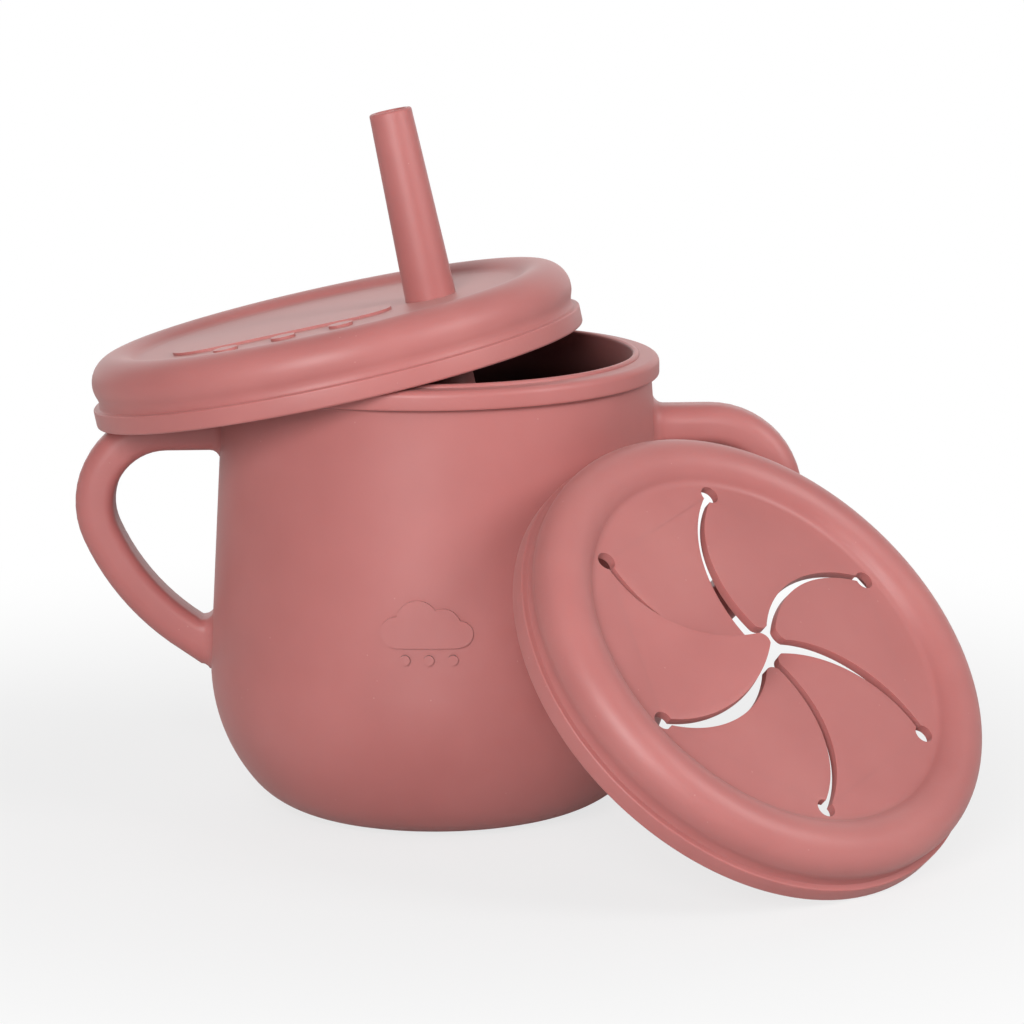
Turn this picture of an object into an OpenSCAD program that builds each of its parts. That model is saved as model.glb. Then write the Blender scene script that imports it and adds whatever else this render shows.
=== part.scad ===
// Toddler snack container in soft silicone: a two-handled cup with a straw lid
// set askew on its rim, a straw through that lid, and a snack lid with six
// curved flaps that leans against the cup. Millimetres, +Z up, the origin at
// the centre of the cup's foot, the handles along X and the front towards -Y.

/* [Cup] */
// Height of the rim's flat top
cup_h = 81.8; // [72:0.2:95]
// Outer radius of the rim band
rim_r = 40; // [38:0.1:44]
// Height of the rim band
rim_band_h = 3.6; // [2.5:0.1:6]
// Rounding of the rim band's upper edge
rim_round = 1.2; // [0.4:0.1:1.4]
// Rounding of the rim band's lower edge
rim_under_round = 0.6; // [0.2:0.1:1]
// How far the rim band stands out from the neck below it
rim_step = 1.45; // [0.8:0.05:3]
// Thickness of the cup's wall
cup_wall = 3.35; // [2:0.05:5]
// Thickness of the cup's floor
cup_floor = 3.4; // [2:0.1:6]
// Largest outer radius, low on the cup
belly_r = 41.9; // [40:0.1:46]
// Height of the largest radius
belly_z = 25.8; // [18:0.2:30]
// Radius of the curve that rounds the belly into the foot
side_curve = 32; // [30:0.5:38]
// Radius of the tighter curve next to the foot
foot_curve = 16; // [8:0.5:17]
// Radius of the sealing bead on the mouth's inner edge
bead_r = 0.6; // [0.3:0.05:1]

/* [Handles] */
// Depth of the middle of the handle's level upper bar below the rim's top
bar_drop = 12.7; // [10:0.1:18]
// How far the bar runs straight past the belly's radius
bar_run = 7; // [4:0.1:14]
// Radius of the bend at the top, along the limb's middle
bend_r = 13.3; // [10:0.1:18]
// Angle of the bend at the top
bend_angle = 113; // [105:1:120]
// Radius of the long sweep back to the cup, along the limb's middle
sweep_r = 43; // [36:0.5:60]
// Angle of the long sweep
sweep_angle = 42; // [38:1:48]
// Limb thickness in the plane of the handle
limb_t = 7; // [5.5:0.1:9]
// Limb thickness from front to back
limb_d = 9; // [7:0.1:12]
// Edge rounding of the limb
limb_round = 3.2; // [1.5:0.1:3.4]

/* [Raised motifs] */
// Height that the motifs stand proud
motif_h = 0.5; // [0.2:0.05:1]
// Width of the cloud on the cup
cup_motif_w = 16; // [10:0.5:20]
// Height of its middle on the cup
cup_motif_z = 39.8; // [34:0.2:56]
// Turn of that cloud about the cup's axis, away from the front
cup_motif_turn = -2.5; // [-20:0.5:20]
// Width of the cloud on the straw lid
lid_motif_w = 40; // [20:1:44]
// Distance from the lid's axis to the middle of that cloud, away from the straw
lid_motif_x = 7; // [4:0.5:9]
// Distance from the lid's axis to the middle of that cloud, towards the front
lid_motif_y = 8; // [4:0.5:9]

/* [Lids] */
// Thickness of the skirt band of both lids
skirt_t = 4; // [3.3:0.1:6]
// Gap between the rim band and the skirt when a lid is pressed on
lid_fit = 0.8; // [0.2:0.1:1.5]
// Height of the skirt band
skirt_band_h = 3.4; // [2.4:0.1:4.4]
// Depth of the groove above the skirt band
groove_d = 1.25; // [0.6:0.05:2]
// Radius of the round bulge that rings the top of both lids
bulge_r = 4.9; // [4.2:0.1:5.6]
// Depth of the bulge's middle inside the skirt's outer radius
bulge_in = 5.6; // [5:0.1:6.4]
// Height of the middle of the bulge above the skirt's lower edge
bulge_mid_z = 7.2; // [6.2:0.1:8.4]
// Rounding of the skirt's outer lower edge
skirt_round = 0.5; // [0.2:0.1:0.7]
// Rounding of the skirt's inner lower edge, which leads the lid over the rim
lead_in = 2.5; // [0.5:0.1:3]

/* [Straw lid] */
// Height of the straw lid's panel above the skirt's lower edge
panel_z = 10.4; // [9.4:0.1:11.4]
// Thickness of that panel
panel_t = 1.8; // [1:0.1:2.4]
// Distance from the lid's axis to the straw
straw_off = 19.2; // [12:0.5:24]
// How far the lid leans on the rim
lid_lean = 11.5; // [8:0.1:14]
// Direction of that lean, from +X towards +Y
lid_lean_az = 172; // [150:0.5:190]
// How far the lid is shifted off the cup's axis in that direction
lid_shift = 17.7; // [14:0.1:22]
// Gap left where the leaning lid rides over the rim
lid_rest_gap = 0.1; // [0.05:0.05:1]

/* [Straw] */
// Outer radius of the straw where it passes the lid
straw_r = 4.6; // [4:0.05:5.5]
// Outer radius at the tip
straw_tip_r = 3.85; // [3.6:0.05:5.4]
// Radius of the straw's bore
straw_bore_r = 2.9; // [2:0.05:3.2]
// Length above the lid's panel
straw_up = 34.2; // [20:0.2:50]
// Length below the top of the lid's panel
straw_down = 78; // [50:0.5:82]
// Rounding of the straw's outer edges
straw_round = 0.45; // [0.2:0.05:0.6]
// Radial running clearance of the straw in the lid
straw_fit = 0.05; // [0.02:0.01:0.1]

/* [Snack lid] */
// Height of the flexible panel above the skirt's lower edge
web_z = 9; // [8.4:0.1:10]
// Thickness of the flexible panel and its flaps
web_t = 1.6; // [1:0.1:2]
// Width of the panel left between the bulge and the middle of a slit's end hole
slit_margin = 2.54; // [2:0.02:6]
// Radius of the curve that each slit follows
slit_curve = 23.7; // [20:0.1:40]
// Width of the slits
slit_w = 1.2; // [0.8:0.05:2]
// Radius of the round hole at the end of each slit
end_hole_r = 1.7; // [1.2:0.05:2.2]
// Rounding of the flaps' tips
flap_tip_r = 2.1; // [1:0.1:3]
// Turn of the slit pattern about the lid's axis
slit_turn = -14.3; // [-30:0.1:30]
// Radial running clearance of a flap's round root in its groove
flap_fit = 0.05; // [0.02:0.01:0.1]
// How far the panel is cut back from a flap's pivot line
flap_cutback = 0.5; // [0.45:0.01:0.6]
// How far the snack lid leans over
stand_lean = 46.9; // [42:0.1:52]
// Direction it faces, from +X towards +Y
stand_az = -47; // [-60:1:-36]
// Direction from the cup's axis to where it stands
stand_dir = -42.5; // [-50:0.5:-36]
// Gap between the leaning lid and the cup's wall
stand_gap = 0.4; // [0.2:0.05:1]

/* [Hidden] */
$fn = 96;
silicone = "#bd7470";
far = 400;
// how far neighbouring runs reach into each other, as a length and an angle, and the step there
seam_l = 0.5;
seam_a = 8;
seam_t = 0.02;
turn_per_mm = 180 / PI;
// share by which a flap's tip rounding is wider than the circle that just fits between the slits
tip_wide = 1.15;

// ---- cup outline: straight wall, belly and foot arcs, each tangent to the next ----
band_z = cup_h - rim_band_h;
neck_r = rim_r - rim_step;
belly_c = [belly_r - side_curve, belly_z];
neck_v = [neck_r, band_z] - belly_c;
// direction of the point where the straight wall leaves the belly's arc
wall_a = atan2(neck_v[1], neck_v[0]) - acos(side_curve / norm(neck_v));

function polar(c, r, a) = c + r * [cos(a), sin(a)];
// radius at the neck, and anywhere on the straight wall, of the outline moved in by inset
function neck_in(inset) = neck_r - inset / cos(wall_a);
function wall_r(z) = neck_r + (band_z - z) * tan(wall_a);
mouth_r = neck_in(cup_wall);

// half section of the cup's outline moved in by inset, with its floor at base. Each arc
// overlaps the next piece by the seam, so that they cross instead of just touching
module cup_half(inset, base, top) {
  foot_r = foot_curve - inset;
  side_r = side_curve - inset;
  foot_z = base + foot_r;
  foot_x = belly_c[0] + sqrt(pow(side_curve - foot_curve, 2) - pow(belly_z - foot_z, 2));
  blend_a = atan2(foot_z - belly_z, foot_x - belly_c[0]);
  neck_x = neck_in(inset);
  intersection() {
    translate([foot_x, foot_z]) circle(foot_r + seam_t);
    translate([0, base]) square([far, far]);
  }
  intersection() {
    translate(belly_c) circle(side_r);
    polygon([belly_c, polar(belly_c, 2 * side_r, blend_a), polar(belly_c, 2 * side_r, wall_a),
             polar(belly_c, 2 * side_r, wall_a + seam_a)]);
  }
  polygon([[0, base], [foot_x, base], polar([foot_x, foot_z], foot_r / 2, blend_a),
           polar(belly_c, side_r / 2, blend_a), polar(belly_c, side_r - seam_t, wall_a),
           [neck_x, band_z], [neck_x, top], [0, top]]);
}

// half section of the rim band with its two outer edges rounded
module band_half() {
  translate([mouth_r, band_z + rim_under_round])
    square([rim_r - mouth_r, rim_band_h - rim_round - rim_under_round]);
  translate([mouth_r, band_z]) square([rim_r - rim_under_round - mouth_r, rim_band_h - rim_round]);
  translate([mouth_r, band_z]) square([rim_r - rim_round - mouth_r, rim_band_h]);
  translate([rim_r - rim_round, cup_h - rim_round]) circle(rim_round);
  translate([rim_r - rim_under_round, band_z + rim_under_round]) circle(rim_under_round);
}

module cup_outside() {
  rotate_extrude() cup_half(0, 0, band_z + rim_under_round);
}

module cup_body() {
  color(silicone) rotate_extrude() difference() {
    union() {
      cup_half(0, 0, band_z + rim_under_round);
      band_half();
      translate([mouth_r + bead_r, cup_h]) circle(bead_r);
    }
    cup_half(cup_wall, cup_floor, cup_h + 2 * bead_r);
  }
}

// ---- handles: a rounded limb that runs along a level bar, a bend and a long sweep ----
module limb_section(inset) {
  w = limb_t / 2 - limb_round;
  d = limb_d / 2 - limb_round;
  square([limb_t - 2 * inset, 2 * d], center = true);
  square([2 * w, limb_d - 2 * inset], center = true);
  for (x = [-w, w], y = [-d, d]) translate([x, y]) circle(limb_round - inset);
}

bar_z = cup_h - bar_drop;
bar_end = belly_r + bar_run;
bend_c = [bar_end, bar_z - bend_r];
turn_1 = 90 - bend_angle;
turn_2 = turn_1 - sweep_angle;
sweep_c = polar(bend_c, bend_r - sweep_r, turn_1);

// one run of the limb about the centre c, from angle a0 down to a1
module arc_run(c, r, a0, a1, inset) {
  translate([c[0], 0, c[1]]) rotate([90, 0, 0]) rotate([0, 0, a1])
    rotate_extrude(angle = a0 - a1) translate([r, 0]) limb_section(inset);
}

// the bar and the sweep end inside the bend, a hair thinner than it
module handle() {
  color(silicone) difference() {
    union() {
      translate([mouth_r, 0, bar_z]) rotate([0, 90, 0])
        linear_extrude(bar_end + seam_l - mouth_r) limb_section(seam_t);
      arc_run(bend_c, bend_r, 90, turn_1, 0);
      arc_run(sweep_c, sweep_r, turn_1 + seam_l * turn_per_mm / sweep_r, turn_2, seam_t);
    }
    cup_outside();
  }
}
module right_handle() handle();
module left_handle() mirror([1, 0, 0]) handle();

// ---- raised motifs: a cloud of four puffs over three drops ----
// puffs as [x, y, r] in shares of the cloud's width
puffs = [[-0.33, 0, 0.17], [-0.1, 0.12, 0.23], [0.17, 0.06, 0.2], [0.36, -0.02, 0.14]];
drops = [-0.24, 0.02, 0.28];
module cloud(w) {
  for (p = puffs) translate(w * [p[0], p[1]]) circle(w * p[2]);
  translate(w * [-0.33, -0.17]) square(w * [0.69, 0.17]);
  for (x = drops) translate(w * [x, -0.3]) circle(w * 0.055);
}

module cup_emblem() {
  color(silicone) intersection() {
    rotate_extrude() difference() {
      cup_half(-motif_h, -motif_h, band_z);
      cup_half(0, -motif_h, far);
    }
    rotate([0, 0, cup_motif_turn]) translate([0, 0, cup_motif_z])
      rotate([90, 0, 0]) linear_extrude(far) cloud(cup_motif_w);
  }
}

// ---- lids ----
seat_r = rim_r + lid_fit;
skirt_r = seat_r + skirt_t;
lead_r = seat_r + lead_in;
bulge_mid_r = skirt_r - bulge_in;
// inner radius of the bulge where a panel of height z meets it
function panel_edge_r(z) = bulge_mid_r - sqrt(pow(bulge_r, 2) - pow(z - bulge_mid_z, 2));
module lid_ring_half(under) {
  difference() {
    union() {
      translate([lead_r, skirt_round]) square([skirt_r - lead_r, skirt_band_h - skirt_round]);
      translate([lead_r, 0]) square([skirt_r - skirt_round - lead_r, skirt_band_h]);
      translate([skirt_r - skirt_round, skirt_round]) circle(skirt_round);
      intersection() {
        translate([lead_r, lead_in]) circle(lead_in);
        square([lead_r + seam_t, lead_in + seam_t]);
      }
      translate([seat_r, lead_in]) square([skirt_r - groove_d - seat_r, bulge_mid_z - lead_in]);
      translate([bulge_mid_r, bulge_mid_z]) circle(bulge_r);
    }
    square([seat_r, under]);
  }
}

// the leaning straw lid rests where its lead-in crosses the rim's rounded edge: the circles
// through the middles of both roundings cross there, and their slopes set the height
edge_r = rim_r - rim_round;
cross_t = (pow(edge_r, 2) - pow(lead_r, 2) + pow(lid_shift, 2)) / (2 * lid_shift);
cross_a = acos((pow(edge_r, 2) + pow(lead_r, 2) - pow(lid_shift, 2)) / (2 * edge_r * lead_r));
cross_h = (rim_round + lead_in) * norm([1, tan(lid_lean) / sin(cross_a)]);
on_rim_z = cup_h - rim_round + cross_h - lead_in * cos(lid_lean)
           - (lid_shift - cross_t) * tan(lid_lean);
// height at which its low side would touch the bend of the handle below
low_x = lid_shift + lead_r * cos(lid_lean) - bend_c[0];
bend_out = bend_r + limb_t / 2;
on_handle_z = bend_c[1] + lead_r * sin(lid_lean)
              + sqrt(max(0, pow(bend_out, 2) - pow(max(0, low_x), 2)));
lid_z = max(on_rim_z, on_handle_z) + lid_rest_gap;
lid_pos = [lid_shift * cos(lid_lean_az), lid_shift * sin(lid_lean_az), lid_z];
module lid_pose() {
  translate(lid_pos) rotate([0, lid_lean, lid_lean_az]) children();
}
module at_straw() translate([-straw_off, 0, panel_z]) children();

module straw_lid() {
  color(silicone) lid_pose() difference() {
    rotate_extrude() {
      lid_ring_half(panel_z - panel_t);
      translate([0, panel_z - panel_t]) square([bulge_mid_r - bulge_r / 2, panel_t]);
    }
    at_straw() cylinder(r = straw_r + straw_fit, h = 3 * panel_t, center = true);
  }
}

module lid_emblem() {
  color(silicone) lid_pose() translate([lid_motif_x, lid_motif_y, panel_z])
    rotate([0, 0, -lid_lean_az]) linear_extrude(motif_h) cloud(lid_motif_w);
}

module straw_half() {
  e = straw_round;
  difference() {
    union() {
      translate([0, -straw_down + e]) square([straw_r, straw_down - e]);
      translate([0, -straw_down]) square([straw_r - e, straw_down]);
      translate([straw_r - e, -straw_down + e]) circle(e);
      polygon([[0, 0], [straw_r, 0], [straw_tip_r, straw_up - e],
               [straw_tip_r - e, straw_up], [0, straw_up]]);
      intersection() {
        translate([straw_tip_r - e, straw_up - e]) circle(e);
        translate([straw_tip_r - e, straw_up - e]) square(e);
      }
    }
    translate([-far + straw_bore_r, -far / 2]) square(far);
  }
}
module straw() { color(silicone) lid_pose() at_straw() rotate_extrude() straw_half(); }

// ---- snack lid: stands on its skirt's edge and leans on the cup's wall ----
top_z = 2 * skirt_r * sin(stand_lean);
touch_r = (top_z > band_z ? rim_r : wall_r(top_z)) + stand_gap;
half_run = skirt_r * cos(stand_lean);
off_a = stand_dir - stand_az;
stand_dist = half_run * cos(off_a) + sqrt(pow(touch_r, 2) - pow(half_run * sin(off_a), 2));
stand_pos = [stand_dist * cos(stand_dir), stand_dist * sin(stand_dir),
             skirt_r * sin(stand_lean)];
module stand_pose() {
  translate(stand_pos) rotate([0, stand_lean, stand_az]) rotate([0, 0, slit_turn]) children();
}

flap_n = 6;
flap_step = 360 / flap_n;
slit_end_r = panel_edge_r(web_z) - slit_margin;
pivot_x = slit_end_r * cos(flap_step / 2);
slit_c = [slit_end_r / 2, -sqrt(pow(slit_curve, 2) - pow(slit_end_r / 2, 2))];
function spun(p, a) = [p[0] * cos(a) - p[1] * sin(a), p[0] * sin(a) + p[1] * cos(a)];
next_c = spun(slit_c, flap_step);
in_r = slit_curve - slit_w / 2;
out_r = slit_curve + slit_w / 2;

// the circle that just touches both slit edges at the flap's tip
tip_fit_r = flap_tip_r / tip_wide;
tip_a = in_r - tip_fit_r;
tip_b = out_r + tip_fit_r;
c_gap = norm(next_c - slit_c);
c_dir = (next_c - slit_c) / c_gap;
c_side = [-c_dir[1], c_dir[0]];
tip_s = (pow(tip_b, 2) - pow(tip_a, 2) + pow(c_gap, 2)) / (2 * c_gap);
tip_h = sqrt(pow(tip_b, 2) - pow(tip_s, 2));
tip_1 = slit_c + tip_s * c_dir + tip_h * c_side;
tip_2 = slit_c + tip_s * c_dir - tip_h * c_side;
tip_c = norm(tip_1) < norm(tip_2) ? tip_1 : tip_2;
touch_1 = slit_c + (tip_c - slit_c) * out_r / norm(tip_c - slit_c);
touch_2 = next_c + (tip_c - next_c) * in_r / norm(tip_c - next_c);
// across the flap at its tip, and along it away from the lid's centre
tip_across = (touch_2 - touch_1) / norm(touch_2 - touch_1);
tip_along = spun(tip_across, 90) * sign(spun(tip_across, 90) * tip_c);
tip_mid = tip_c + (flap_tip_r - tip_fit_r) * tip_along;

// flap outline, reaching past its pivot line; its first slit ends on the X axis
module flap_outline() {
  difference() {
    translate(next_c) circle(in_r);
    translate(slit_c) circle(out_r);
    for (a = [0, flap_step]) translate(spun([slit_end_r, 0], a)) circle(end_hole_r);
    // beyond the tip's rounding
    difference() {
      polygon([touch_1 - far * tip_across, touch_2 + far * tip_across,
               tip_c + far * (tip_across - tip_along), tip_c - far * (tip_across + tip_along)]);
      translate(tip_mid) circle(flap_tip_r);
    }
  }
}

// a pivot line runs from the middle of one end hole to the next
pivot_l = 2 * slit_end_r * sin(flap_step / 2);
// frame on a flap's pivot line, in the middle of the panel's thickness
module at_pivot() {
  rotate([0, 0, flap_step / 2]) translate([pivot_x, 0, web_z - web_t / 2])
    rotate([90, 0, 0]) children();
}

module flap(i) {
  color(silicone) stand_pose() rotate([0, 0, flap_step * i]) intersection() {
    translate([0, 0, web_z - 2 * web_t]) linear_extrude(3 * web_t) flap_outline();
    at_pivot() linear_extrude(pivot_l, center = true) {
      circle(web_t / 2);
      translate([-2 * slit_end_r, -web_t / 2]) square([2 * slit_end_r, web_t]);
    }
  }
}

module snack_lid() {
  color(silicone) stand_pose() difference() {
    rotate_extrude() {
      lid_ring_half(web_z - web_t);
      translate([0, web_z - web_t]) square([bulge_mid_r - bulge_r / 2, web_t]);
    }
    translate([0, 0, web_z - 2 * web_t])
      cylinder(r = (pivot_x + flap_cutback) / cos(flap_step / 2), h = 4 * web_t, $fn = flap_n);
    for (i = [0:flap_n - 1]) rotate([0, 0, flap_step * i]) {
      translate([slit_end_r, 0, web_z - 2 * web_t]) cylinder(r = end_hole_r, h = 4 * web_t);
      at_pivot() cylinder(r = web_t / 2 + flap_fit, h = pivot_l, center = true);
    }
  }
}
module flap_1() flap(0);
module flap_2() flap(1);
module flap_3() flap(2);
module flap_4() flap(3);
module flap_5() flap(4);
module flap_6() flap(5);

cup_body();
left_handle();
right_handle();
cup_emblem();
straw_lid();
lid_emblem();
straw();
snack_lid();
flap_1();
flap_2();
flap_3();
flap_4();
flap_5();
flap_6();
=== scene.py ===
# %% [markdown]
# # A toddler's snack container in dusty-rose silicone
# The set is a cup with two loop handles, a straw lid that lies askew on the rim, a straw through
# that lid, and a snack lid with six curved flaps that leans against the cup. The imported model
# gives the exact frame. Blender counts in metres and the object's sizes are in millimetres, so
# every length below is a millimetre value times MM.

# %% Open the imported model
import math

import bpy
from mathutils import Matrix, Vector


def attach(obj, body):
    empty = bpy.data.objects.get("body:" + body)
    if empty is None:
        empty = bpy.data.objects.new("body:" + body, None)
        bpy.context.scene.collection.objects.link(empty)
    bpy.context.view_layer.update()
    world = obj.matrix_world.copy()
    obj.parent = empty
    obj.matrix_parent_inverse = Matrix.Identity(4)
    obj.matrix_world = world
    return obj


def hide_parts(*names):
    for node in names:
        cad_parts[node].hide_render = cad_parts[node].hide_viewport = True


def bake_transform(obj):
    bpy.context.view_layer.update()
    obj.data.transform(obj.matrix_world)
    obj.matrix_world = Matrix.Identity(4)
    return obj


MM = 0.001
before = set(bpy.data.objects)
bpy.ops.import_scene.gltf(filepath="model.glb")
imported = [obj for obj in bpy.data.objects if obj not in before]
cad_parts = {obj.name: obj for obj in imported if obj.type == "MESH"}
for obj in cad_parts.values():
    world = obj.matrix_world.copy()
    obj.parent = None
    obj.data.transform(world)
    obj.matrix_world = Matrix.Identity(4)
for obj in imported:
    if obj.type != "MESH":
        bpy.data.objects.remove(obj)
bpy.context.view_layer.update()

# %% [markdown]
# ## Camera
# The camera was fitted to the photograph's outlines together with the shape: it looks down by
# eleven degrees and is rolled by less than one. A photograph alone hardly tells a near camera
# with a short lens from a far one with a long lens, so the distance of 0.8 m is a choice. A lens
# in millimetres is its length in pixels over the picture's width, times the sensor's width.

# %% Camera
LENS_PX, IMAGE_PX, SENSOR_MM = 4487.5, 1024, 36.0
PITCH, ROLL = 0.1878, 0.01224

bpy.ops.object.camera_add(location=(13.17 * MM, -798.5 * MM, 204.8 * MM))
camera = bpy.context.object
camera.name = "Camera"
camera.data.sensor_width = SENSOR_MM
camera.data.lens = LENS_PX / IMAGE_PX * SENSOR_MM
camera.data.clip_start, camera.data.clip_end = 0.01, 20
camera.rotation_euler = (
    Matrix.Rotation(math.pi / 2 - PITCH, 4, "X") @ Matrix.Rotation(-ROLL, 4, "Z")
).to_euler()
bpy.context.scene.camera = camera
print("lens", round(camera.data.lens, 1), "mm")

# %% [markdown]
# ## Materials
# Every piece is platinum-cured silicone rubber, moulded against a finely blasted steel tool.
# That finish scatters light: a broad, weak highlight, a pale dusty edge where the surface
# turns away, and a little light that enters the thin walls and glows back warmer. All patterns
# read Object coordinates, so they stay on the piece when it moves and keep their size in mm.

# %% Colour and node helpers
def linear(hexcode):
    """sRGB hex to the linear values that shaders use."""
    out = []
    for i in (1, 3, 5):
        c = int(hexcode[i : i + 2], 16) / 255
        out.append(c / 12.92 if c <= 0.04045 else ((c + 0.055) / 1.055) ** 2.4)
    return (*out, 1.0)


def add_node(tree, kind, settings=None, inputs=None, links=None):
    """Adds one node, sets its properties and values, and links other outputs into it."""
    node = tree.nodes.new(kind)
    for key, value in (settings or {}).items():
        setattr(node, key, value)
    for key, value in (inputs or {}).items():
        node.inputs[key].default_value = value
    for key, output in (links or {}).items():
        tree.links.new(output, node.inputs[key])
    return node


def ramp(tree, source, stops):
    """A colour ramp through (position, hex colour) stops."""
    node = add_node(tree, "ShaderNodeValToRGB", links={"Fac": source})
    while len(node.color_ramp.elements) < len(stops):
        node.color_ramp.elements.new(0.5)
    for element, (place, colour) in zip(node.color_ramp.elements, stops):
        element.position = place
        element.color = linear(colour)
    return node.outputs["Color"]


# %% [markdown]
# Two marks are made apart from the plain finish. The first is painted shade: the cup's inside is
# never lit by the studio, so its colour is darkened below the mouth, though the silicone there is
# the same rose. Its faces are found by their normal: they look towards the cup's middle. The
# second
# is real: the two halves of the handles' mould meet at the middle plane and leave a parting line,
# a faint ridge less than a millimetre wide.

# %% Painted shade inside the cup and ridge of the parting line
CUP_MIDDLE = (0, 0, 40 * MM)
# painted shade inside the cup: a dark tone that the colour blends towards, by 45 % at the top
# height and fully at the low height and below
INSIDE_SHADE_LOW, INSIDE_SHADE_TOP, INSIDE_SHADE_TONE = 72 * MM, 81 * MM, "#341918"
RIDGE_HALF, RIDGE_RISE = 0.35 * MM, 3.0


def paint_inside_shade(tree, where, colour):
    """Painted shade: darkens the colour of the faces that look towards the cup's middle, more so
    further down.
    """
    axes = add_node(tree, "ShaderNodeSeparateXYZ", links={"Vector": where})
    middle = add_node(tree, "ShaderNodeVectorMath", {"operation": "SUBTRACT"},
                      {1: CUP_MIDDLE}, {0: where})
    facing = add_node(tree, "ShaderNodeVectorMath", {"operation": "DOT_PRODUCT"},
                      links={0: middle.outputs["Vector"],
                             1: add_node(tree, "ShaderNodeTexCoord").outputs["Normal"]})
    inside = add_node(tree, "ShaderNodeMath", {"operation": "LESS_THAN"}, {1: 0.0},
                      {0: facing.outputs["Value"]})
    depth = add_node(tree, "ShaderNodeMapRange", {"interpolation_type": "SMOOTHSTEP"},
                     {"From Min": INSIDE_SHADE_LOW, "From Max": INSIDE_SHADE_TOP, "To Min": 1.0, "To Max": 0.45},
                     {"Value": axes.outputs["Z"]})
    both = add_node(tree, "ShaderNodeMath", {"operation": "MULTIPLY"},
                    links={0: inside.outputs["Value"], 1: depth.outputs["Result"]})
    mix = add_node(tree, "ShaderNodeMix", {"data_type": "RGBA"}, {"B": linear(INSIDE_SHADE_TONE)},
                   {"Factor": both.outputs["Value"], "A": colour})
    return mix.outputs["Result"]


def parting_ridge(tree, where, height):
    """Adds a ridge on the plane Y = 0 to a bump's height."""
    axes = add_node(tree, "ShaderNodeSeparateXYZ", links={"Vector": where})
    off = add_node(tree, "ShaderNodeMath", {"operation": "ABSOLUTE"}, links={0: axes.outputs["Y"]})
    line = add_node(tree, "ShaderNodeMapRange", {"interpolation_type": "SMOOTHSTEP"},
                    {"From Min": 0.0, "From Max": RIDGE_HALF, "To Min": RIDGE_RISE, "To Max": 0.0},
                    {"Value": off.outputs["Value"]})
    ridge = add_node(tree, "ShaderNodeMath", {"operation": "ADD"},
                     links={0: height, 1: line.outputs["Result"]})
    return ridge.outputs["Value"]


print("inside tone from", round(INSIDE_SHADE_TOP / MM), "down to", round(INSIDE_SHADE_LOW / MM), "mm")

# %% [markdown]
# The colour drifts a little where the pigment is uneven, in patches of about 25 mm. A blasted
# tool leaves a grain of about 0.3 mm, drawn at 0.5 mm so that it shows, and fine lint and dust
# cling to silicone as pale specks a few millimetres apart. Scales are one over these lengths in
# metres. Silicone's index of refraction is 1.41, and a satin surface has a roughness near 0.45.

# %% Blasted silicone
DRIFT_SCALE, SPECK_SCALE, GRAIN_SCALE = 40.0, 260.0, 2000.0
DUST_TONE, SHEEN_TONE = "#e9c5bf", "#f0d2cd"
FIXED = {
    "IOR": 1.41, "Specular IOR Level": 0.6,
    "Subsurface Weight": 0.18, "Subsurface Radius": (1.0, 0.35, 0.25),
    "Subsurface Scale": 2.0 * MM,
    "Sheen Weight": 0.12, "Sheen Roughness": 0.45, "Sheen Tint": linear(SHEEN_TONE),
}


def blasted_silicone(name, deep, body, pale, parting_line=False, shade_inside=False):
    material = bpy.data.materials.new(name)
    material.use_nodes = True
    tree = material.node_tree
    shader = tree.nodes["Principled BSDF"]
    where = add_node(tree, "ShaderNodeTexCoord").outputs["Object"]
    drift = add_node(tree, "ShaderNodeTexNoise", inputs={"Scale": DRIFT_SCALE, "Detail": 3.0},
                     links={"Vector": where})
    tint = ramp(tree, drift.outputs["Fac"], [(0.3, deep), (0.52, body), (0.75, pale)])
    specks = add_node(tree, "ShaderNodeTexVoronoi", inputs={"Scale": SPECK_SCALE},
                      links={"Vector": where})
    dust = add_node(tree, "ShaderNodeMapRange", {"interpolation_type": "SMOOTHSTEP"},
                    {"From Min": 0.02, "From Max": 0.05, "To Min": 0.16, "To Max": 0.0},
                    {"Value": specks.outputs["Distance"]})
    dusty = add_node(tree, "ShaderNodeMix", {"data_type": "RGBA"}, {"B": linear(DUST_TONE)},
                     {"Factor": dust.outputs["Result"], "A": tint})
    colour = dusty.outputs["Result"]
    # painted shade: darkens the colour of the cup's inside, below the mouth
    if shade_inside:
        colour = paint_inside_shade(tree, where, colour)
    tree.links.new(colour, shader.inputs["Base Color"])
    grain = add_node(tree, "ShaderNodeTexNoise",
                     inputs={"Scale": GRAIN_SCALE, "Detail": 2.0, "Roughness": 0.6},
                     links={"Vector": where})
    rough = add_node(tree, "ShaderNodeMapRange", inputs={"To Min": 0.4, "To Max": 0.5},
                     links={"Value": drift.outputs["Fac"]})
    tree.links.new(rough.outputs["Result"], shader.inputs["Roughness"])
    height = grain.outputs["Fac"]
    if parting_line:
        height = parting_ridge(tree, where, height)
    bump = add_node(tree, "ShaderNodeBump", inputs={"Strength": 0.35, "Distance": 0.03 * MM},
                    links={"Height": height})
    tree.links.new(bump.outputs["Normal"], shader.inputs["Normal"])
    for socket, value in FIXED.items():
        shader.inputs[socket].default_value = value
    print("material:", name)
    return material


# %% [markdown]
# The lids are a shade lighter than the cup and the straw, as pieces from another batch of
# pigment are. Each material has a deep, a middle and a pale tone for its drift.

# %% The four finishes
CUP_TONES = ("#ae6865", "#b46d6a", "#b97370")
LID_TONES = ("#af6a67", "#b56f6c", "#ba7571")
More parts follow.
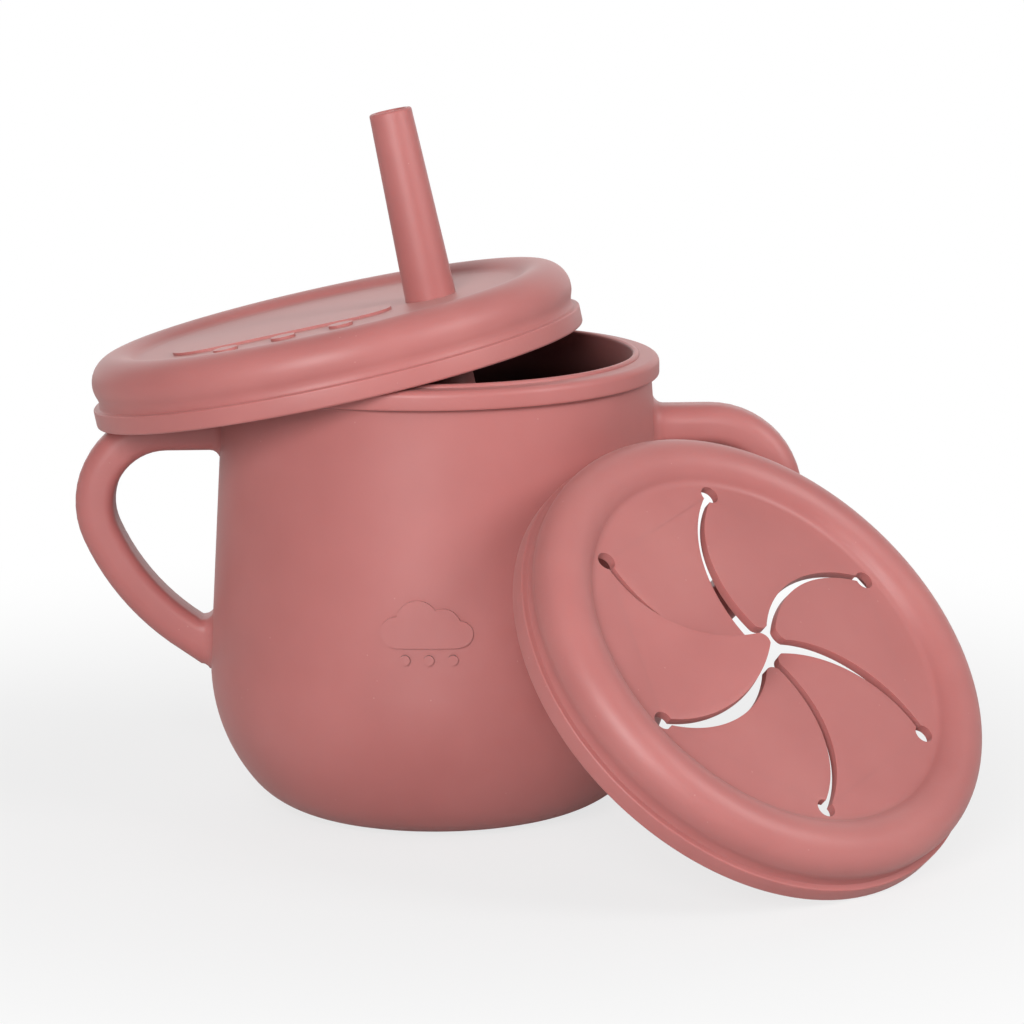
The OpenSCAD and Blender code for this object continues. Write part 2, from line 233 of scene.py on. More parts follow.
# the cup's finish also holds the painted shade on its inside
cup_silicone = blasted_silicone("Cup silicone, blasted mould, painted shade inside", *CUP_TONES, shade_inside=True)
limb_silicone = blasted_silicone("Handle silicone, parting line", *CUP_TONES, parting_line=True)
lid_silicone = blasted_silicone("Lid silicone, blasted mould", *LID_TONES)
straw_silicone = blasted_silicone("Straw silicone, extruded", *CUP_TONES)

# %% [markdown]
# ## Helpers for modelling as by hand
# A turned piece starts from a plane that is merged to one vertex. The vertex is moved to the
# first point of the half section and extruded from point to point, and Spin turns the line
# round the Z axis. Merging by distance closes the seam and the poles.

# %% Trace and turn
def only(obj):
    """Selects obj and nothing else."""
    bpy.ops.object.select_all(action="DESELECT")
    obj.select_set(True)
    bpy.context.view_layer.objects.active = obj


def shade(obj, angle=35):
    only(obj)
    bpy.ops.object.shade_smooth_by_angle(angle=math.radians(angle))


def arc(centre, radius, start, end, steps):
    """Points in mm on an arc, both ends included, angles in degrees."""
    points = []
    for i in range(steps + 1):
        a = math.radians(start + (end - start) * i / steps)
        points.append((centre[0] + radius * math.cos(a), centre[1] + radius * math.sin(a)))
    return points


def ease(first, corner, last, steps=6):
    """Points of a soft corner that leaves first and reaches last, drawn towards corner."""
    points = []
    for i in range(steps + 1):
        t = i / steps
        points.append(tuple(
            (1 - t) ** 2 * p + 2 * t * (1 - t) * q + t * t * r
            for p, q, r in zip(first, corner, last)))
    return points


def turned(name, section, steps=144, closed=False):
    """Spins a half section of (radius, height) points in mm round the Z axis."""
    bpy.ops.object.select_all(action="DESELECT")
    bpy.ops.mesh.primitive_plane_add(size=MM)
    obj = bpy.context.object
    obj.name = obj.data.name = name
    bpy.ops.object.mode_set(mode="EDIT")
    bpy.ops.mesh.select_all(action="SELECT")
    bpy.ops.mesh.merge(type="CENTER")
    here = Vector((section[0][0] * MM, 0, section[0][1] * MM))
    bpy.ops.transform.translate(value=here)
    for r, z in section[1:] + (section[:1] if closed else []):
        there = Vector((r * MM, 0, z * MM))
        if (there - here).length < 1e-7:
            continue
        bpy.ops.mesh.extrude_vertices_move(TRANSFORM_OT_translate={"value": there - here})
        here = there
    bpy.ops.mesh.select_all(action="SELECT")
    bpy.ops.mesh.remove_doubles(threshold=1e-6)
    bpy.ops.mesh.spin(steps=steps, angle=2 * math.pi, center=(0, 0, 0), axis=(0, 0, 1))
    bpy.ops.mesh.select_all(action="SELECT")
    bpy.ops.mesh.remove_doubles(threshold=2e-6)
    bpy.ops.mesh.normals_make_consistent(inside=False)
    bpy.ops.object.mode_set(mode="OBJECT")
    print(name, len(obj.data.vertices), "vertices")
    return obj


def settle(obj, pose):
    """Moves a piece by a matrix and writes the place into its mesh."""
    only(obj)
    obj.matrix_world = pose
    bpy.ops.object.transform_apply(location=True, rotation=True, scale=True)


def dress(obj, material):
    obj.data.materials.clear()
    obj.data.materials.append(material)


# %% [markdown]
# ## The cup
# The wall is a straight, slightly flared line from the neck to a round belly, which turns
# under into a small flat foot. The rim is a thicker band with a soft outer edge and a thin
# sealing bead on the mouth's inner edge. A cup is a turned form, so half of its section, outside
# and inside in one line, is traced and spun. Scaling a cylinder would lose the even wall.

# %% Cup sizes and section
CUP_H, RIM_R, RIM_BAND_H, RIM_ROUND, RIM_UNDER = 81.8, 40.0, 3.6, 1.2, 0.6
NECK_R, CUP_WALL, CUP_FLOOR = 38.55, 3.35, 3.4
BELLY_R, BELLY_Z, SIDE_CURVE, FOOT_CURVE, BEAD_R = 41.9, 25.8, 32.0, 16.0, 0.6
WALL_HEIGHTS, NECK_LOW = (52, 70), 77.6
BAND_Z = CUP_H - RIM_BAND_H
BELLY_X = BELLY_R - SIDE_CURVE
neck_from_belly = (NECK_R - BELLY_X, BAND_Z - BELLY_Z)
WALL_TILT = math.degrees(
    math.atan2(neck_from_belly[1], neck_from_belly[0])
    - math.acos(SIDE_CURVE / math.hypot(*neck_from_belly)))
MOUTH_R = NECK_R - CUP_WALL / math.cos(math.radians(WALL_TILT))


def wall_radius(z):
    return NECK_R + (BAND_Z - z) * math.tan(math.radians(WALL_TILT))


def bowl(inset, base):
    """Foot, foot arc and belly arc of the cup's outline, moved in by inset."""
    foot_r, side_r = FOOT_CURVE - inset, SIDE_CURVE - inset
    foot_z = base + foot_r
    foot_x = BELLY_X + math.sqrt((SIDE_CURVE - FOOT_CURVE) ** 2 - (BELLY_Z - foot_z) ** 2)
    turn = math.degrees(math.atan2(foot_z - BELLY_Z, foot_x - BELLY_X))
    return ([(0, base)] + arc((foot_x, foot_z), foot_r, -90, turn, 14)
            + arc((BELLY_X, BELLY_Z), side_r, turn, WALL_TILT, 16)[1:])


cup_section = (
    bowl(0, 0)
    + [(wall_radius(z), z) for z in WALL_HEIGHTS]
    + ease((wall_radius(NECK_LOW), NECK_LOW), (NECK_R, BAND_Z), (NECK_R + 0.6, BAND_Z), 4)
    + arc((RIM_R - RIM_UNDER, BAND_Z + RIM_UNDER), RIM_UNDER, -90, 0, 5)
    + arc((RIM_R - RIM_ROUND, CUP_H - RIM_ROUND), RIM_ROUND, 0, 90, 8)
    + arc((MOUTH_R + BEAD_R, CUP_H), BEAD_R, 0, 180, 8)
    + [(MOUTH_R, BAND_Z)]
    + bowl(CUP_WALL, CUP_FLOOR)[::-1])
cup = turned("Cup", cup_section, steps=180)
shade(cup)
dress(cup, cup_silicone)
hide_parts("cup_body")
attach(cup, "cup")

# %% [markdown]
# ## The loop handles
# A handle is one soft limb, rounder towards the outside of the loop than towards the fingers.
# It is a plane with beveled corners that is extruded along the loop: out of the wall, round the
# top bend, and down a long sweep back to the belly. A curve with a bevel would be quicker, but
# it gives no hold on the ends. Here, at both roots, the limb spreads into the wall like a fillet,
# made by rings that grow and that a Shrinkwrap lays at falling distances from the wall.

# %% Handle sizes
BAR_Z, BAR_END, BEND_R, BEND_ANGLE, SWEEP_R = 69.1, 48.9, 13.3, 113.0, 43.0
LIMB_T, LIMB_D, LIMB_ROUND, INNER_ROUND = 7.0, 9.0, 3.2, 2.0
BAR_STARTS, SWEEP_SPAN = (43.2, 45.0, 47.0), 33.5
ROOT_SPREAD, SINK = 1.8, 0.03
FLARE = (0, 20, 40, 58, 75, 90)


def turn_y(angle, centre):
    """Turns the selection about Y. With no window the operator turns the other way."""
    bpy.ops.transform.rotate(value=angle, orient_axis="Y", orient_type="GLOBAL",
                             center_override=centre)


# %% Centre line of the right handle
def loop_stations():
    """(x, z, heading) along the limb's middle, heading in degrees from +X towards +Z."""
    bend_c = (BAR_END, BAR_Z - BEND_R)
    turn = 90 - BEND_ANGLE
    sweep_c = (bend_c[0] - (SWEEP_R - BEND_R) * math.cos(math.radians(turn)),
               bend_c[1] - (SWEEP_R - BEND_R) * math.sin(math.radians(turn)))
    stations = [(x, BAR_Z, 0.0) for x in BAR_STARTS]
    for i in range(17):
        a = 90 - BEND_ANGLE * i / 16
        stations.append((bend_c[0] + BEND_R * math.cos(math.radians(a)),
                         bend_c[1] + BEND_R * math.sin(math.radians(a)), a - 90))
    for i in range(1, 12):
        a = turn - SWEEP_SPAN * i / 11
        stations.append((sweep_c[0] + SWEEP_R * math.cos(math.radians(a)),
                         sweep_c[1] + SWEEP_R * math.sin(math.radians(a)), a - 90))
    return stations


stations = loop_stations()
print("handle stations:", len(stations), "last", [round(v, 2) for v in stations[-1]])


# %% Sweep the limb
def keep_selected(obj, wanted):
    """In object mode, leaves selected only the vertices that wanted() keeps, and their edges."""
    chosen = {v.index for v in obj.data.vertices if v.select and wanted(v.co)}
    for v in obj.data.vertices:
        v.select = v.index in chosen
    for e in obj.data.edges:
        e.select = all(n in chosen for n in e.vertices)
    for face in obj.data.polygons:
        face.select = False
    return [obj.data.vertices[n].co.copy() for n in chosen]


def swept_limb(name):
    bpy.ops.object.select_all(action="DESELECT")
    x0, z0, _ = stations[0]
    bpy.ops.mesh.primitive_plane_add(size=1, rotation=(0, math.pi / 2, 0),
                                     location=(x0 * MM, 0, z0 * MM))
    limb = bpy.context.object
    limb.name = limb.data.name = name
    limb.scale = (LIMB_T * MM, LIMB_D * MM, 1)
    bpy.ops.object.transform_apply(location=True, rotation=True, scale=True)
    for side, rounding in ((1, LIMB_ROUND), (-1, INNER_ROUND)):
        bpy.ops.object.mode_set(mode="EDIT")
        bpy.ops.mesh.select_mode(type="VERT")
        bpy.ops.mesh.select_all(action="SELECT")
        bpy.ops.object.mode_set(mode="OBJECT")
        keep_selected(limb, lambda c: side * (c.z - z0 * MM) > 0)
        bpy.ops.object.mode_set(mode="EDIT")
        bpy.ops.mesh.bevel(offset=rounding * MM, segments=7, affect="VERTICES")
    bpy.ops.mesh.select_all(action="SELECT")
    bpy.ops.mesh.delete(type="ONLY_FACE")
    bpy.ops.mesh.select_all(action="SELECT")
    x, z, heading = stations[0]
    for nx, nz, nheading in stations[1:]:
        bpy.ops.mesh.extrude_region_move(
            TRANSFORM_OT_translate={"value": ((nx - x) * MM, 0, (nz - z) * MM)})
        if abs(nheading - heading) > 1e-6:
            turn_y(math.radians(nheading - heading), (nx * MM, 0, nz * MM))
        x, z, heading = nx, nz, nheading
    bpy.ops.object.mode_set(mode="OBJECT")
    return limb


limb = swept_limb("Handle_right")
print("limb x from", round(min(v.co.x for v in limb.data.vertices) / MM, 2),
      "to", round(max(v.co.x for v in limb.data.vertices) / MM, 2),
      "z from", round(min(v.co.z for v in limb.data.vertices) / MM, 2))

# %% Spread the roots into the wall
def spread_root(limb, near, drop):
    """Extrudes the open ring near a point, which heads down by drop, into rings that flare
    onto the cup's wall."""
    only(limb)
    bpy.ops.object.mode_set(mode="EDIT")
    bpy.ops.mesh.select_mode(type="VERT")
    bpy.ops.mesh.select_all(action="DESELECT")
    bpy.ops.mesh.select_non_manifold(extend=False)
    bpy.ops.object.mode_set(mode="OBJECT")
    ring = keep_selected(limb, lambda c: (c - near).length < 7 * MM)
    here = sum(ring, Vector()) / len(ring)
    size = (LIMB_T / 2, LIMB_D / 2)
    bpy.ops.object.mode_set(mode="EDIT")
    for n, angle in enumerate(FLARE):
        away = ROOT_SPREAD * (1 - math.sin(math.radians(angle)))
        grow = ROOT_SPREAD * (1 - math.cos(math.radians(angle)))
        x = wall_radius(here.z / MM) * MM + away * MM
        there = Vector((x, 0, here.z - (here.x - x) * math.tan(drop) * (n == 0)))
        bpy.ops.mesh.extrude_region_move(TRANSFORM_OT_translate={"value": there - here})
        if n == 0:
            # the ring stands upright from here on, which makes an oblique cut taller
            turn_y(-drop, there)
            taller = 1 / math.cos(drop)
        new_size = ((LIMB_T / 2) * taller + grow, LIMB_D / 2 + grow)
        bpy.ops.transform.resize(
            value=(1, new_size[1] / size[1], new_size[0] / size[0]),
            orient_type="GLOBAL", center_override=there)
        size, here = new_size, there
        bpy.ops.object.mode_set(mode="OBJECT")
        group = limb.vertex_groups.new(name=f"flare_{n}")
        group.add([v.index for v in limb.data.vertices if v.select], 1.0, "REPLACE")
        wrap = limb.modifiers.new("lay on wall", "SHRINKWRAP")
        wrap.target, wrap.vertex_group = cup, group.name
        wrap.wrap_method, wrap.wrap_mode = "PROJECT", "ON_SURFACE"
        wrap.use_project_x, wrap.use_project_y, wrap.use_project_z = True, False, False
        wrap.use_negative_direction = wrap.use_positive_direction = True
        wrap.offset = (away - SINK) * MM
        bpy.ops.object.mode_set(mode="EDIT")
    bpy.ops.object.mode_set(mode="OBJECT")
    for modifier in list(limb.modifiers):
        bpy.ops.object.modifier_apply(modifier=modifier.name)
    limb.vertex_groups.clear()
    print("root at", [round(c / MM, 2) for c in here])


first, last = stations[0], stations[-1]
spread_root(limb, Vector((first[0] * MM, 0, first[1] * MM)), 0.0)
spread_root(limb, Vector((last[0] * MM, 0, last[1] * MM)), math.radians(180 + last[2]))

# %% Finish both handles
only(limb)
bpy.ops.object.mode_set(mode="EDIT")
bpy.ops.mesh.select_all(action="SELECT")
bpy.ops.mesh.normals_make_consistent(inside=False)
bpy.ops.object.mode_set(mode="OBJECT")
shade(limb, 60)
bpy.ops.object.duplicate()
left_limb = bpy.context.object
left_limb.name = left_limb.data.name = "Handle_left"
bpy.ops.object.mode_set(mode="EDIT")
bpy.ops.mesh.select_all(action="SELECT")
bpy.ops.transform.mirror(constraint_axis=(True, False, False), center_override=(0, 0, 0))
bpy.ops.mesh.normals_make_consistent(inside=False)
bpy.ops.object.mode_set(mode="OBJECT")
for handle, node in ((limb, "right_handle"), (left_limb, "left_handle")):
    dress(handle, limb_silicone)
    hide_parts(node)
    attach(handle, "cup")
print("left handle x from", round(min(v.co.x for v in left_limb.data.vertices) / MM, 2))

# %% [markdown]
# ## The lids
# Both lids have the same edge: a skirt band that goes over the cup's rim, a groove and a fat
# round bulge that the fingers pull on. Its inner lower edge is widely rounded so that it slips
# over the rim. Only the panel inside the bulge differs, so one function gives the half section
# for a panel of any height, and both lids are turned from it.

# %% Lid edge section
SKIRT_R, LID_FIT, BAND_H, GROOVE_D, SKIRT_ROUND, LEAD_IN = 44.8, 0.8, 3.4, 1.25, 0.5, 2.5
BULGE_R, BULGE_X, BULGE_Z = 4.9, 39.2, 7.2
SEAT_R = RIM_R + LID_FIT
CUTTER_DEPTH = 8.0
print("lid", round(2 * SKIRT_R, 1), "mm wide, seat", round(2 * SEAT_R, 1), "mm")


def lid_section(panel_z, panel_t):
    groove_r = SKIRT_R - GROOVE_D
    low = math.degrees(math.asin((groove_r - BULGE_X) / BULGE_R))
    high = math.degrees(math.asin((panel_z - BULGE_Z) / BULGE_R))
    inner_x = BULGE_X - BULGE_R * math.cos(math.radians(high))
    under = panel_z - panel_t
    bulge = arc((BULGE_X, BULGE_Z), BULGE_R, low - 90 + 4, 180 - high - 12, 44)
    return (
        [(0, panel_z), (12, panel_z), (24, panel_z)]
        + ease((inner_x - 1.3, panel_z), (inner_x, panel_z), bulge[-1], 6)
        + bulge[::-1][1:]
        + ease((groove_r, BULGE_Z - BULGE_R * math.cos(math.radians(low)) - 0.3),
               (groove_r, BAND_H), (groove_r + 0.35, BAND_H), 4)
        + arc((SKIRT_R - 0.3, BAND_H - 0.3), 0.3, 90, 0, 4)
        + arc((SKIRT_R - SKIRT_ROUND, SKIRT_ROUND), SKIRT_ROUND, 0, -90, 6)
        + arc((SEAT_R + LEAD_IN, LEAD_IN), LEAD_IN, -90, -180, 10)
        + ease((SEAT_R, under - 0.8), (SEAT_R, under), (SEAT_R - 0.8, under), 5)
        + [(24, under), (0, under)])


# %% [markdown]
# ## The straw lid
# It lies askew: shifted to the left, resting on the rim, leaning down to the left. It is
# turned upright at the origin, where its section is easy to trace, then cut, and moved to its
# place last. The straw's hole is cut with a cylinder by a Boolean, off the lid's middle, where
# no turned form could put it.

# %% Straw lid
PANEL_Z, PANEL_T, STRAW_OFF, STRAW_R = 10.4, 1.8, 19.2, 4.6
LID_LEAN, LID_AZ, LID_SHIFT = 11.5, 172.0, 17.7
LID_Z, STRAW_FIT = 78.460, 0.05
lid_pose = (
    Matrix.Translation((LID_SHIFT * math.cos(math.radians(LID_AZ)) * MM,
                        LID_SHIFT * math.sin(math.radians(LID_AZ)) * MM, LID_Z * MM))
    @ Matrix.Rotation(math.radians(LID_AZ), 4, "Z")
    @ Matrix.Rotation(math.radians(LID_LEAN), 4, "Y"))


def cut(obj, cutter):
    """Takes the cutter away from obj, applies that and removes the cutter."""
    only(obj)
    boolean = obj.modifiers.new("cut", "BOOLEAN")
    boolean.operation, boolean.solver, boolean.object = "DIFFERENCE", "EXACT", cutter
    bpy.ops.object.modifier_apply(modifier=boolean.name)
    bpy.data.objects.remove(cutter, do_unlink=True)


straw_lid = turned("Straw_lid", lid_section(PANEL_Z, PANEL_T))
bpy.ops.object.select_all(action="DESELECT")
bpy.ops.mesh.primitive_cylinder_add(
    vertices=64, radius=(STRAW_R + STRAW_FIT) * MM, depth=CUTTER_DEPTH * MM,
    location=(-STRAW_OFF * MM, 0, PANEL_Z * MM))
cut(straw_lid, bpy.context.object)
settle(straw_lid, lid_pose)
shade(straw_lid)
dress(straw_lid, lid_silicone)
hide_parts("straw_lid")
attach(straw_lid, "straw_lid")

# %% [markdown]
# ## The straw
# A silicone tube that tapers a little towards the mouth end, with ends trimmed square and
# their edges softened. A closed section, outside and bore in one loop, is spun round the
# straw's own axis, so the wall is real and the bore can be looked into.

# %% Straw
TIP_R, BORE_R, STRAW_UP, STRAW_DOWN, END_ROUND, BORE_ROUND = 3.85, 2.9, 34.2, 78.0, 0.45, 0.3
straw_section = (
    arc((TIP_R - END_ROUND, STRAW_UP - END_ROUND), END_ROUND, 0, 90, 5)
    + arc((BORE_R + BORE_ROUND, STRAW_UP - BORE_ROUND), BORE_ROUND, 90, 180, 4)
    + [(BORE_R, 10), (BORE_R, -30)]
    + arc((BORE_R + BORE_ROUND, -STRAW_DOWN + BORE_ROUND), BORE_ROUND, 180, 270, 4)
    + arc((STRAW_R - END_ROUND, -STRAW_DOWN + END_ROUND), END_ROUND, -90, 0, 5)
    + [(STRAW_R, -30), (STRAW_R, -2), (STRAW_R, 0), (STRAW_R - 0.1, 5)])
straw = turned("Straw", straw_section, steps=72, closed=True)
settle(straw, lid_pose @ Matrix.Translation((-STRAW_OFF * MM, 0, PANEL_Z * MM)))
shade(straw)
dress(straw, straw_silicone)
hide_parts("straw")
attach(straw, "straw")

# %% [markdown]
# ## The snack lid
# The same edge round a thin flexible panel that is cut into six curved flaps. A child's hand
# goes in between them and the snacks stay in. The panel's rim keeps a hexagonal opening whose
# sides are the flaps' roots, with a round hole at each corner that stops the slits from tearing
# on. A six-sided and six round cutters make it, because straight roots can bend and round can't.

# %% Snack lid ring
WEB_Z, WEB_T, HOLE_RING_R, END_HOLE_R = 9.0, 1.6, 32.103, 1.7
SLIT_TURN, STAND_LEAN, STAND_AZ = -14.3, 46.9, -47.0
STAND_AT = (51.777, -47.445, 32.711)
stand_pose = (
    Matrix.Translation(Vector(STAND_AT) * MM)
    @ Matrix.Rotation(math.radians(STAND_AZ), 4, "Z")
    @ Matrix.Rotation(math.radians(STAND_LEAN), 4, "Y")
    @ Matrix.Rotation(math.radians(SLIT_TURN), 4, "Z"))

snack_lid = turned("Snack_lid", lid_section(WEB_Z, WEB_T))
bpy.ops.object.select_all(action="DESELECT")
bpy.ops.mesh.primitive_cylinder_add(
    vertices=6, radius=HOLE_RING_R * MM, depth=CUTTER_DEPTH * MM,
    location=(0, 0, WEB_Z * MM), rotation=(0, 0, math.pi / 6))
cut(snack_lid, bpy.context.object)
for i in range(6):
    a = math.radians(60 * i)
    bpy.ops.object.select_all(action="DESELECT")
    bpy.ops.mesh.primitive_cylinder_add(
        vertices=40, radius=END_HOLE_R * MM, depth=CUTTER_DEPTH * MM,
        location=(HOLE_RING_R * math.cos(a) * MM, HOLE_RING_R * math.sin(a) * MM, WEB_Z * MM))
    cut(snack_lid, bpy.context.object)
print("snack lid ring", len(snack_lid.data.polygons), "faces")
settle(snack_lid, stand_pose)
shade(snack_lid)
dress(snack_lid, lid_silicone)
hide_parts("snack_lid")
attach(snack_lid, "snack_lid")

# %% [markdown]
# ## The flaps
# A flap is a grid whose rows run from one slit to the other, from the root to the tip. Its
# two long edges follow the hole, the slit's arc and the tip's rounding, each worked out where
# circles cross. Slits cut into a turned disc would leave long thin faces that bend badly.

# %% Edges of one flap
SLIT_CURVE, SLIT_W, FLAP_TIP_R = 23.7, 1.2, 2.1
PIVOT_X = HOLE_RING_R * math.cos(math.radians(30))


def spun(p, degrees):
    c, s = math.cos(math.radians(degrees)), math.sin(math.radians(degrees))
    return Vector((p[0] * c - p[1] * s, p[0] * s + p[1] * c))


slit_c = Vector((HOLE_RING_R / 2, -math.sqrt(SLIT_CURVE**2 - (HOLE_RING_R / 2) ** 2)))
next_c = spun(slit_c, 60)
inner_r, outer_r = SLIT_CURVE - SLIT_W / 2, SLIT_CURVE + SLIT_W / 2


def crossing(c1, r1, c2, r2, near):
    """Where two circles cross, the point nearer to near."""
    gap = (c2 - c1).length
    along = (c2 - c1) / gap
    s = (r1**2 - r2**2 + gap**2) / (2 * gap)
    h = math.sqrt(r1**2 - s**2)
    side = Vector((-along.y, along.x))
    return min((c1 + s * along + h * side, c1 + s * along - h * side),
               key=lambda p: (p - near).length)


def run(centre, radius, first, last, steps):
    """Points on a circle from first to last the short way round."""
    a0 = math.atan2(first.y - centre.y, first.x - centre.x)
    a1 = math.atan2(last.y - centre.y, last.x - centre.x)
    turn = (a1 - a0 + math.pi) % (2 * math.pi) - math.pi
    return [centre + radius * Vector((math.cos(a0 + turn * i / max(steps, 1)),
                                      math.sin(a0 + turn * i / max(steps, 1))))
            for i in range(steps + 1)]


TIP_WIDE = 1.15
tip_fit = FLAP_TIP_R / TIP_WIDE
tip_c = crossing(slit_c, outer_r + tip_fit, next_c, inner_r - tip_fit, Vector((0, 0)))
touch_1 = slit_c + (tip_c - slit_c).normalized() * outer_r
touch_2 = next_c + (tip_c - next_c).normalized() * inner_r
across = (touch_2 - touch_1).normalized()
along = Vector((-across.y, across.x))
along *= math.copysign(1, along.dot(tip_c))
tip_mid = tip_c + (FLAP_TIP_R - tip_fit) * along
apex = tip_mid - FLAP_TIP_R * along
holes = [spun((HOLE_RING_R, 0), a) for a in (0, 60)]
chord = (holes[1] - holes[0]).normalized()


def long_edge(centre, radius, hole, inward):
    start = hole + inward * END_HOLE_R * chord
    at_slit = crossing(hole, END_HOLE_R, centre, radius, Vector((0, 0)))
    at_tip = crossing(tip_mid, FLAP_TIP_R, centre, radius, Vector((0, 0)))
    if (at_tip - apex).length > 3.5:
        at_tip = crossing(tip_mid, FLAP_TIP_R, centre, radius, apex)
    # one slit leaves its hole right at the root, the other some way along the hole's edge
    on_hole = 8 if (at_slit - start).length > 0.5 else 0
    return (run(hole, END_HOLE_R, start, at_slit, on_hole)[:on_hole]
            + run(centre, radius, at_slit, at_tip, 54 - on_hole)
            + run(tip_mid, FLAP_TIP_R, at_tip, apex, 9)[1:])


edge_a = long_edge(slit_c, outer_r, holes[0], 1)
edge_b = long_edge(next_c, inner_r, holes[1], -1)
print("flap edge points", len(edge_a), len(edge_b), "apex", [round(c, 2) for c in apex])

# %% [markdown]
# The flaps of a used lid never lie flat. Each one curls up or down by a millimetre or so, and
# the left one stands up and leans over its neighbour. The grid is bent so, gets its thickness
# from Solidify and has its free edges beveled. At its root it bends smoothly with the lid.

# %% Shape of each flap
COLUMNS, FLAP_EDGE, FOLD = 14, 0.4, 5
# for each flap: lift of the tip in mm, how late it bends, the share by which it is drawn back
# towards its root, and how far the tip sways sideways in mm
CURL = (-1.3, 1.6, 0.9, -0.9, 5.4, -0.9)
BEND = (1.6, 1.6, 1.6, 1.6, 1.4, 1.6)
DRAWN_BACK = (0.0, 0.01, 0.03, 0.01, 0.05, 0.015)
SWAY = (0.0, 0.0, 0.0, 0.0, -1.1, 0.0)
ROOT = Vector((math.cos(math.radians(30)), math.sin(math.radians(30))))
SIDEWAYS = Vector((-ROOT.y, ROOT.x))
print("highest tip", max(CURL), "mm above the panel, lowest", min(CURL), "mm")


# %% Model the flaps
def bent_grid(number):
    """The flap's upper face, in the lid's own place."""
    rows = len(edge_a)
    bpy.ops.object.select_all(action="DESELECT")
    bpy.ops.mesh.primitive_grid_add(x_subdivisions=COLUMNS - 1, y_subdivisions=rows - 1, size=1)
    obj = bpy.context.object
    obj.name = obj.data.name = f"Flap_{number + 1}"
    for v in obj.data.vertices:
        i = round((v.co.y + 0.5) * (rows - 1))
        t = v.co.x + 0.5
        p = edge_a[i] * (1 - t) + edge_b[i] * t
        back = PIVOT_X - p.dot(ROOT)
        reach = max(back, 0) / PIVOT_X
        lift = CURL[number] * reach ** BEND[number]
        p = p + ROOT * DRAWN_BACK[number] * max(back, 0) + SIDEWAYS * SWAY[number] * reach
        v.co = (p.x * MM, p.y * MM, (WEB_Z + lift) * MM)
    only(obj)
    bpy.ops.object.mode_set(mode="EDIT")
    bpy.ops.mesh.select_all(action="SELECT")
    bpy.ops.mesh.remove_doubles(threshold=1e-6)
    bpy.ops.mesh.normals_make_consistent(inside=False)
    bpy.ops.object.mode_set(mode="OBJECT")
    if obj.data.polygons[0].normal.z < 0:
        obj.data.flip_normals()
    return obj


def thicken(obj):
    """Gives the flap its thickness and softens its free edges, not the one at the root."""
    solid = obj.modifiers.new("thickness", "SOLIDIFY")
    solid.thickness, solid.offset = WEB_T * MM, -1
    bpy.ops.object.modifier_apply(modifier=solid.name)
    bpy.ops.object.mode_set(mode="EDIT")
    bpy.ops.mesh.select_mode(type="EDGE")
    bpy.ops.mesh.select_all(action="DESELECT")
    bpy.ops.mesh.edges_select_sharp(sharpness=math.radians(60))
    bpy.ops.object.mode_set(mode="OBJECT")
    for e in obj.data.edges:
        ends = [obj.data.vertices[n].co for n in e.vertices]
        backs = [PIVOT_X - (c.x * ROOT.x + c.y * ROOT.y) / MM for c in ends]
        level = abs(ends[0].z - ends[1].z) < 0.5 * MM
        if e.select and (max(backs) < 0.01 or not level):
            e.select = False
    bpy.ops.object.mode_set(mode="EDIT")
    bpy.ops.mesh.bevel(offset=FLAP_EDGE * MM, segments=3, affect="EDGES", clamp_overlap=True)
    bpy.ops.object.mode_set(mode="OBJECT")


def flap(number):
    obj = bent_grid(number)
    thicken(obj)
    pose = stand_pose @ Matrix.Rotation(math.radians(60 * number), 4, "Z")
    settle(obj, pose)
    shade(obj, 50)
    dress(obj, lid_silicone)
    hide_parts(f"flap_{number + 1}")
    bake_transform(obj)
    return obj


flaps = [flap(n) for n in range(6)]
print("flaps:", len(flaps), "with", len(flaps[0].data.polygons), "faces each")

# %% [markdown]
# ## Raised figures
# A low cloud with three drops stands half a millimetre proud on the cup and on the straw lid.
# Both keep their exact solids from the model, which already follow the wall and the panel, and
# only get the finish of the piece that they are moulded on.

# %% Finish of the raised figures
for node, material in (("cup_emblem", cup_silicone), ("lid_emblem", lid_silicone)):
    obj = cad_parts[node]
    for slot in obj.material_slots:
        slot.material = material
    if not obj.material_slots:
        obj.data.materials.append(material)
    print(node, "is", material.name)

# %% [markdown]
# ## Studio
# A pale board that brightens to pure white away from the object, for the camera only, so that
# the soft shadow near the object stays and no grey horizon shows. A soft light stands a little
# left of the camera, a second one high at the right, which the leaning lid keeps from part of
# the cup, and a white board behind shines on the tops of the lids.

# %% Floor
bpy.ops.object.select_all(action="DESELECT")
bpy.ops.mesh.primitive_plane_add(size=6, location=(0, 0, 0))
floor = bpy.context.object
floor.name = "Floor"
floor_paint = bpy.data.materials.new("Matte white board")
floor_paint.use_nodes = True
tree = floor_paint.node_tree
board = tree.nodes["Principled BSDF"]
board.inputs["Base Color"].default_value = linear("#cfcfcf")
board.inputs["Roughness"].default_value = 0.9
board.inputs["Specular IOR Level"].default_value = 0.1
where = add_node(tree, "ShaderNodeTexCoord").outputs["Object"]
reach = add_node(tree, "ShaderNodeVectorMath", {"operation": "LENGTH"}, links={0: where})
fade = add_node(tree, "ShaderNodeMapRange", {"interpolation_type": "SMOOTHSTEP"},
                {"From Min": 0.07, "From Max": 0.24, "To Min": 0.74, "To Max": 1.0},
                {"Value": reach.outputs["Value"]})
seen = add_node(tree, "ShaderNodeLightPath")
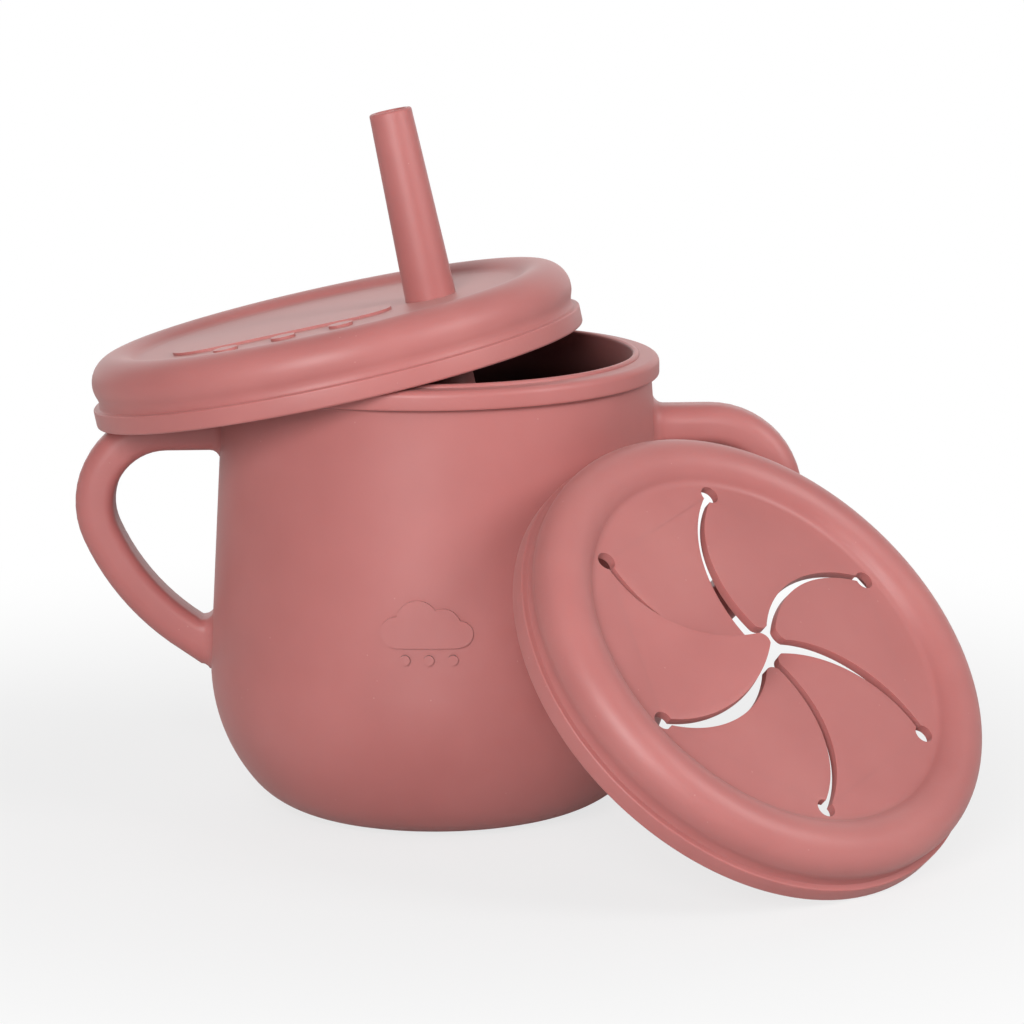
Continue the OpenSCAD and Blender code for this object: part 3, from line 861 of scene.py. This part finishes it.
bright = add_node(tree, "ShaderNodeMath", {"operation": "MULTIPLY"},
                  links={0: fade.outputs["Result"], 1: seen.outputs["Is Camera Ray"]})
glow = add_node(tree, "ShaderNodeEmission", inputs={"Strength": 1.0})
paper = add_node(tree, "ShaderNodeMixShader", links={
    "Fac": bright.outputs["Value"], 1: board.outputs["BSDF"], 2: glow.outputs["Emission"]})
tree.links.new(paper.outputs["Shader"], tree.nodes["Material Output"].inputs["Surface"])
floor.data.materials.append(floor_paint)
print("floor", round(floor.dimensions.x, 1), "m wide")


# %% Lights and backdrop
def soft_light(name, location, target, size, watts):
    """An area light, a disc if size is one number, else a rectangle of that width and height."""
    bpy.ops.object.light_add(type="AREA", location=location)
    light = bpy.context.object
    light.name = name
    light.data.energy = watts
    if isinstance(size, tuple):
        light.data.shape, light.data.size, light.data.size_y = "RECTANGLE", size[0], size[1]
    else:
        light.data.shape, light.data.size = "DISK", size
    aim = Vector(target) - Vector(location)
    light.rotation_euler = aim.to_track_quat("-Z", "Y").to_euler()


soft_light("Key", (-0.2, -0.97, 0.42), (0.01, -0.01, 0.04), 0.5, 8.2)
soft_light("Soft box at the right", (0.85, -0.5, 0.62), (0, 0, 0.04), 0.5, 5.2)
soft_light("White board behind", (0, 1.0, 0.5), (0, 0, 0.3), (2.0, 1.0), 6.2)

world = bpy.data.worlds.new("Backdrop")
bpy.context.scene.world = world
world.use_nodes = True
tree = world.node_tree
tree.nodes.clear()
path = add_node(tree, "ShaderNodeLightPath")
around = add_node(tree, "ShaderNodeBackground",
                  inputs={"Color": linear("#ffffff"), "Strength": 0.27})
seen = add_node(tree, "ShaderNodeBackground", inputs={"Color": linear("#ffffff"), "Strength": 1.0})
mixed = add_node(tree, "ShaderNodeMixShader", links={
    "Fac": path.outputs["Is Camera Ray"], 1: around.outputs["Background"],
    2: seen.outputs["Background"]})
add_node(tree, "ShaderNodeOutputWorld", links={"Surface": mixed.outputs["Shader"]})
bpy.context.scene.view_settings.view_transform = "Standard"
